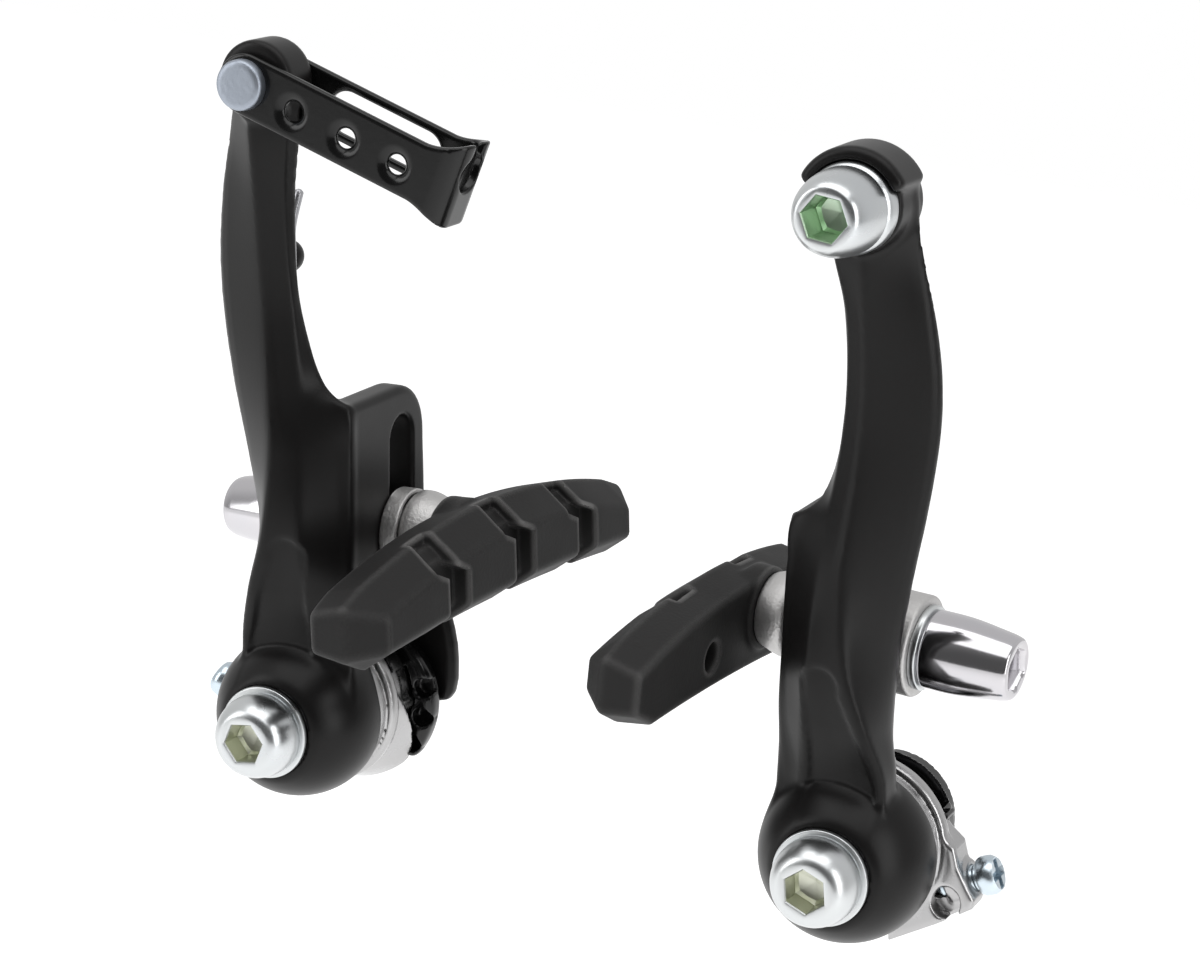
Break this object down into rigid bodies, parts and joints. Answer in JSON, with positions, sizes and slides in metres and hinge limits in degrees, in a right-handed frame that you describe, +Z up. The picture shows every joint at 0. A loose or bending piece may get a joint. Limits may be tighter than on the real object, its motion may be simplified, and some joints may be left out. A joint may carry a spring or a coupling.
{
  "type": "v-brake",
  "caption": "Pair of black linear pull rim brake arms with pads on ball washers, return springs, cable link and cable clamp.",
  "frame": {"origin": "midway between the two frame boss axes, at the middle of the pivot bushes", "axes": "+X from the left arm to the right arm as seen in the picture, +Y back into the frame along the boss axes, +Z up along the arms"},
  "size_m": [0.1188, 0.0726, 0.1065],
  "materials": {
    "black_paint": "satin",
    "black_steel": "gloss",
    "zinc": "bright zinc",
    "bright_steel": "polished",
    "cast_washer": "grainy",
    "spring_steel": "drawn wire",
    "housing": "die cast",
    "rubber": "matt",
    "plastic": "gloss",
    "bush": "ground"
  },
  "bodies": {
    "mount_hardware": {"left_pivot_bush": "bush", "left_pivot_bolt": "zinc", "left_pivot_washer": "zinc", "left_spring_plate": "housing", "left_spring_cap": "plastic", "right_pivot_bush": "bush", "right_pivot_bolt": "zinc", "right_pivot_washer": "zinc", "right_spring_plate": "housing", "right_spring_cap": "plastic"},
    "left_arm": {"left_arm": "black_paint", "left_return_spring": "spring_steel"},
    "left_carrier": {"left_inner_cup_washer": "cast_washer", "left_outer_cup_washer": "cast_washer"},
    "left_pad": {"left_pad": "rubber", "left_pad_stud": "zinc", "left_inner_ball_washer": "cast_washer", "left_outer_ball_washer": "cast_washer", "left_flat_washer": "zinc", "left_pad_nut": "bright_steel"},
    "left_screw": {"left_tension_screw": "zinc"},
    "right_arm": {"right_arm": "black_paint", "right_return_spring": "spring_steel", "cable_clamp_bolt": "zinc", "cable_clamp_washer": "zinc"},
    "right_carrier": {"right_inner_cup_washer": "cast_washer", "right_outer_cup_washer": "cast_washer"},
    "right_pad": {"right_pad": "rubber", "right_pad_stud": "zinc", "right_inner_ball_washer": "cast_washer", "right_outer_ball_washer": "cast_washer", "right_flat_washer": "zinc", "right_pad_nut": "bright_steel"},
    "right_screw": {"right_tension_screw": "zinc"},
    "cable_link": {"cable_link": "black_steel", "link_rivet": "zinc"}
  },
  "joints": [
    {"name": "left_arm_pivot", "type": "hinge", "parent": "mount_hardware", "child": "left_arm", "pos_m": [-0.04, 0, 0], "axis": [0, -1, 0], "range_deg": [-13, 20], "stiffness_Nm_per_rad": 1},
    {"name": "left_pad_height", "type": "slide", "parent": "left_arm", "child": "left_carrier", "axis": [-0.0819, 0, 0.9966], "range_m": [-0.002, 0.007]},
    {"name": "left_pad_turn", "type": "hinge", "parent": "left_carrier", "child": "left_pad", "pos_m": [-0.03477, 0.0066, 0.02491], "axis": [-0.9883, 0.1045, -0.111], "range_deg": [-8, 8]},
    {"name": "left_tension_turn", "type": "hinge", "parent": "mount_hardware", "child": "left_screw", "pos_m": [-0.0529, 0.0038, -0.0034], "axis": [-0.9063, 0, 0.4226], "continuous": true},
    {"name": "right_arm_pivot", "type": "hinge", "parent": "mount_hardware", "child": "right_arm", "pos_m": [0.04, 0, 0], "axis": [0, 1, 0], "range_deg": [-5, 25], "stiffness_Nm_per_rad": 1},
    {"name": "right_pad_height", "type": "slide", "parent": "right_arm", "child": "right_carrier", "axis": [-0.0576, 0, 0.9983], "range_m": [-0.002, 0.007]},
    {"name": "right_pad_turn", "type": "hinge", "parent": "right_carrier", "child": "right_pad", "pos_m": [0.03125, 0.0066, 0.02574], "axis": [0.997, -0.0766, 0.0086], "range_deg": [-8, 8]},
    {"name": "right_tension_turn", "type": "hinge", "parent": "mount_hardware", "child": "right_screw", "pos_m": [0.0529, 0.0038, -0.0034], "axis": [0.9063, 0, 0.4226], "continuous": true},
    {"name": "link_swing", "type": "hinge", "parent": "left_arm", "child": "cable_link", "pos_m": [-0.04755, 0, 0.08697], "axis": [0, -1, 0], "range_deg": [-6, 70]}
  ]
}
